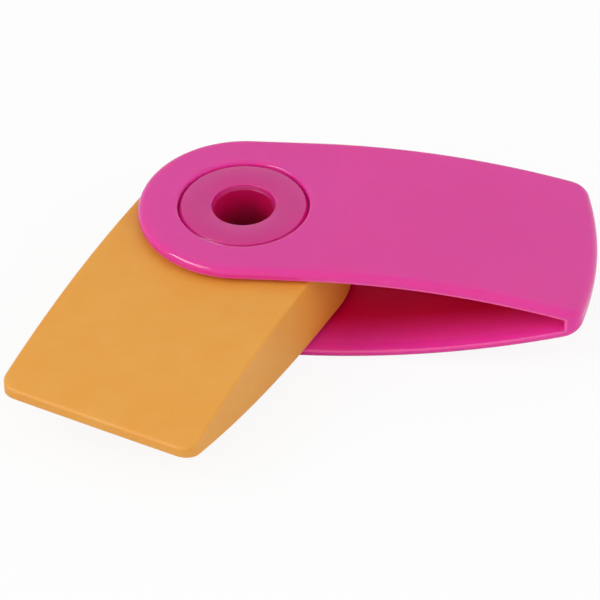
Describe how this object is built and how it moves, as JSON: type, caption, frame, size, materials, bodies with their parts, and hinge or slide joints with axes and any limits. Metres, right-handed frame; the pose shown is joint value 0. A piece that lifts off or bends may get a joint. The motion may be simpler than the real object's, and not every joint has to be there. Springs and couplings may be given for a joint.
{
  "type": "rubber eraser",
  "caption": "Rubber eraser wedge that swivels out of a tapering moulded sleeve about a hollow snap hub.",
  "frame": {"origin": "on the hub's axis, halfway through the thickness of the sleeve", "axes": "+X from the hub to the sleeve's closed end, +Z along the hub's bore, out of the upper plate; the lower plate rests on the table"},
  "size_m": [0.0675, 0.0501, 0.013],
  "materials": {
    "sleeve_plastic": "bright pink moulded plastic with a smooth, glossy face and softly rounded edges",
    "eraser_rubber": "warm orange rubber, matt and faintly smudged",
    "hub_plastic": "deeper pink moulded plastic with a fine matt face, a little translucent in the bore"
  },
  "bodies": {
    "sleeve_body": {"sleeve": "sleeve_plastic"},
    "eraser_unit": {"eraser": "eraser_rubber", "hub_upper": "hub_plastic", "hub_lower": "hub_plastic"}
  },
  "joints": [
    {"name": "eraser_swivel", "type": "hinge", "parent": "sleeve_body", "child": "eraser_unit", "pos_m": [0, 0, 0], "axis": [0, 0, 1], "continuous": true}
  ]
}
